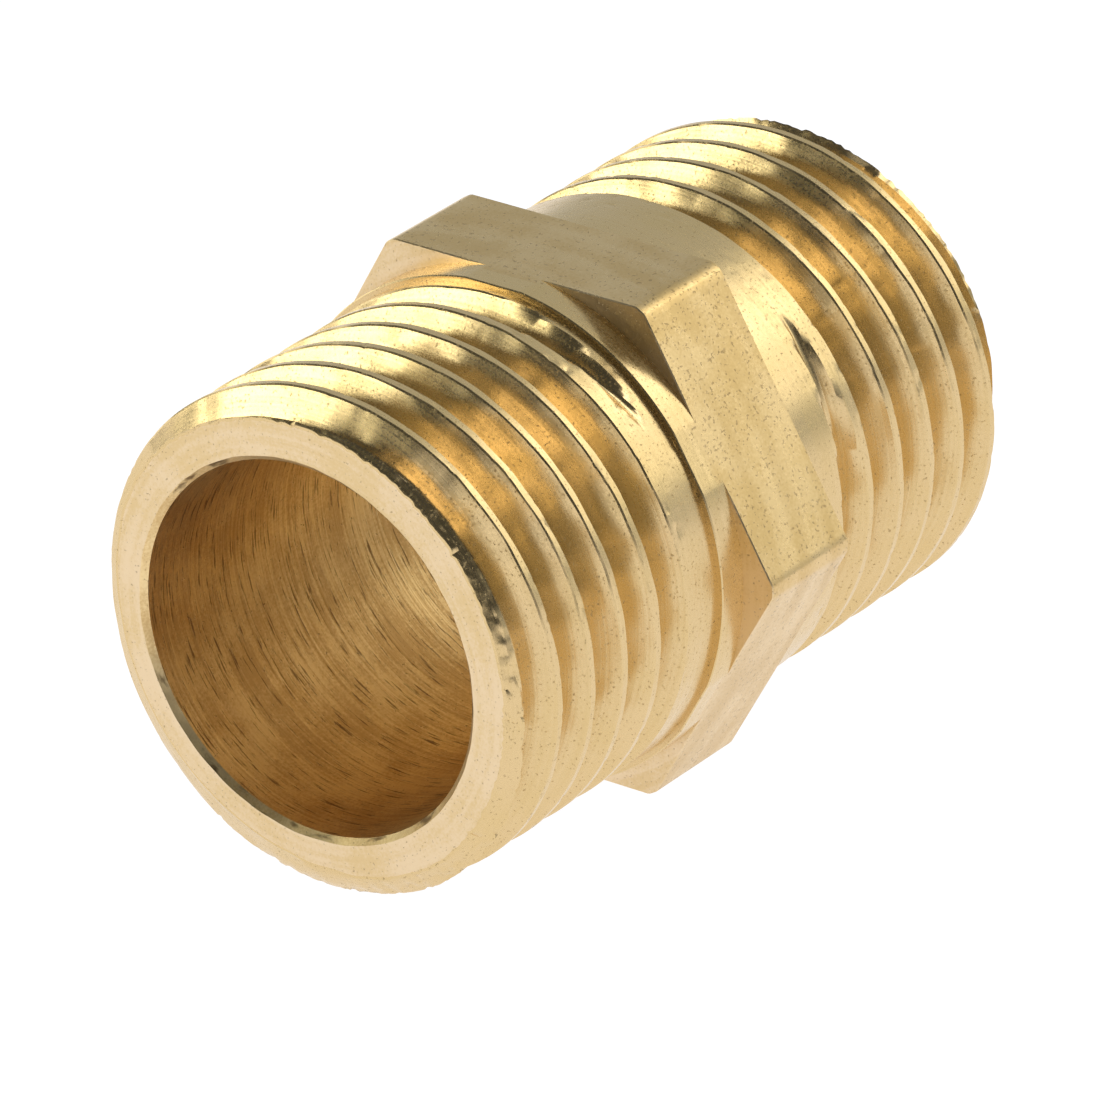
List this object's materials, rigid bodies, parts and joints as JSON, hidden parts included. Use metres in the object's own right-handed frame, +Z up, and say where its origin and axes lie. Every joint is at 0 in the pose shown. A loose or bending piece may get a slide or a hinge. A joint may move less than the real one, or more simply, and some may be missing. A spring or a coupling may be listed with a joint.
{
  "type": "hex nipple",
  "caption": "Brass hex nipple: short pipe connector with a male parallel pipe thread on each end, a spanner hexagon between them and a through bore.",
  "frame": {"origin": "middle of the hexagon on the pipe axis, which is also the middle of the overall length", "axes": "X along the pipe axis, +Z up and square to the hexagon's top flat, +Y towards a hexagon corner"},
  "size_m": [0.0208, 0.0152, 0.0134],
  "materials": {
    "brass": "bare machined brass, satin on the flats and bright on the turned surfaces"
  },
  "bodies": {
    "root": {"nipple_body": "brass"}
  },
  "joints": []
}
